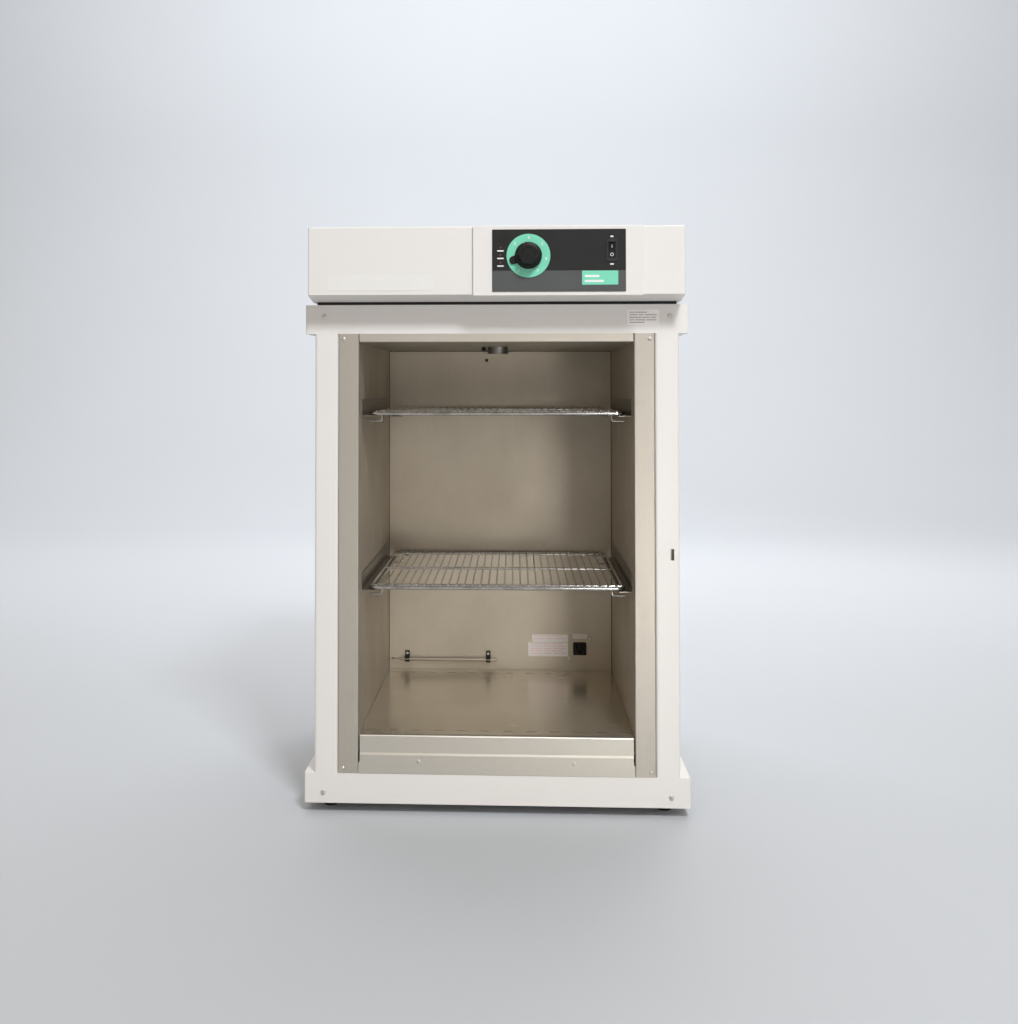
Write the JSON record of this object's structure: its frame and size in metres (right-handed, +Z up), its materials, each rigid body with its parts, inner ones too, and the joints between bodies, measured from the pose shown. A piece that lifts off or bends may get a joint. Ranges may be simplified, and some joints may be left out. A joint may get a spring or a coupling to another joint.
{
  "type": "laboratory incubator",
  "caption": "Floor-standing gravity-convection laboratory incubator with open stainless chamber, sliding wire shelves and an overhanging control console.",
  "frame": {"origin": "on the floor plane, under the middle of the whole object", "axes": "+X to the right as seen from the open front, +Y towards the back, +Z up"},
  "size_m": [0.636, 0.6606, 0.9778],
  "materials": {
    "white_paint": "smooth semi-gloss powder coat",
    "stainless": "brushed stainless sheet",
    "liner_stainless": "dull rolled stainless sheet",
    "chrome_wire": "bright chromed wire",
    "zinc_screw": "plated screw",
    "black_rubber": "moulded rubber",
    "gasket_foam": "closed-cell foam",
    "black_plastic": "fine moulded grain",
    "charcoal_panel": "printed satin overlay",
    "green_panel": "printed satin green",
    "label_stock": "printed label",
    "lamp_lens": "tinted lens",
    "heater_sheath": "heat-tinted sheath",
    "copper_tube": "drawn copper capillary",
    "insulation_wool": "glass wool",
    "vent_metal": "turned tube"
  },
  "bodies": {
    "cabinet": {"left_side_panel": "white_paint", "right_side_panel": "white_paint", "rear_panel": "white_paint", "base_frame": "white_paint", "top_frame": "white_paint", "feet": "black_rubber", "foot_bolts": "zinc_screw", "left_jamb": "stainless", "right_jamb": "stainless", "front_header": "stainless", "front_sill": "stainless", "liner_left_wall": "liner_stainless", "liner_right_wall": "liner_stainless", "liner_back_wall": "liner_stainless", "liner_ceiling": "liner_stainless", "liner_floor_pan": "liner_stainless", "floor_diffuser": "liner_stainless", "insulation_left": "insulation_wool", "insulation_right": "insulation_wool", "insulation_back": "insulation_wool", "insulation_top": "insulation_wool", "insulation_bottom": "insulation_wool", "upper_left_bracket": "stainless", "upper_right_bracket": "stainless", "lower_left_bracket": "stainless", "lower_right_bracket": "stainless", "heater_element": "heater_sheath", "heater_supports": "stainless", "sensor_bulb": "copper_tube", "capillary_tube": "copper_tube", "sensor_clips": "black_plastic", "strike_box": "zinc_screw", "outlet_receptacle": "black_plastic", "back_wall_labels": "label_stock", "vent_tube": "vent_metal", "vent_seat": "vent_metal", "console_housing": "white_paint", "console_rear_cover": "white_paint", "console_gasket": "gasket_foam", "control_module": "white_paint", "control_overlay": "charcoal_panel", "accent_label": "green_panel", "name_strip": "label_stock", "rating_label": "label_stock", "temperature_dial": "green_panel", "thermostat_body": "black_plastic", "rocker_bezel": "black_plastic", "pilot_lamps": "lamp_lens", "power_inlet": "black_plastic", "fuse_holder": "black_plastic", "terminal_block": "black_plastic", "casing_screws": "zinc_screw", "liner_screws": "zinc_screw"},
    "upper_shelf_body": {"upper_shelf": "chrome_wire"},
    "lower_shelf_body": {"lower_shelf": "chrome_wire"},
    "knob_body": {"temperature_knob": "black_plastic", "thermostat_shaft": "zinc_screw"},
    "lock_lever_body": {"knob_lock_lever": "black_plastic"},
    "rocker_body": {"rocker_button": "black_plastic"},
    "vent_cap_body": {"vent_cap": "black_plastic"}
  },
  "joints": [
    {"name": "upper_shelf_slide", "type": "slide", "parent": "cabinet", "child": "upper_shelf_body", "axis": [0, -1, 0], "range_m": [0, 0.3]},
    {"name": "lower_shelf_slide", "type": "slide", "parent": "cabinet", "child": "lower_shelf_body", "axis": [0, -1, 0], "range_m": [0, 0.3]},
    {"name": "temperature_knob_turn", "type": "hinge", "parent": "cabinet", "child": "knob_body", "pos_m": [0.0538, -0.3048, 0.9168], "axis": [0, -1, 0], "range_deg": [-168, 126]},
    {"name": "knob_lock_turn", "type": "hinge", "parent": "cabinet", "child": "lock_lever_body", "pos_m": [0.0538, -0.3048, 0.9168], "axis": [0, -1, 0], "range_deg": [0, 30]},
    {"name": "power_rocker_tilt", "type": "hinge", "parent": "cabinet", "child": "rocker_body", "pos_m": [0.1879, -0.3022, 0.9253], "axis": [1, 0, 0], "range_deg": [-18, 0]},
    {"name": "vent_cap_turn", "type": "hinge", "parent": "cabinet", "child": "vent_cap_body", "pos_m": [0, 0.0042, 0.966], "axis": [0, 0, 1], "range_deg": [0, 90]}
  ]
}
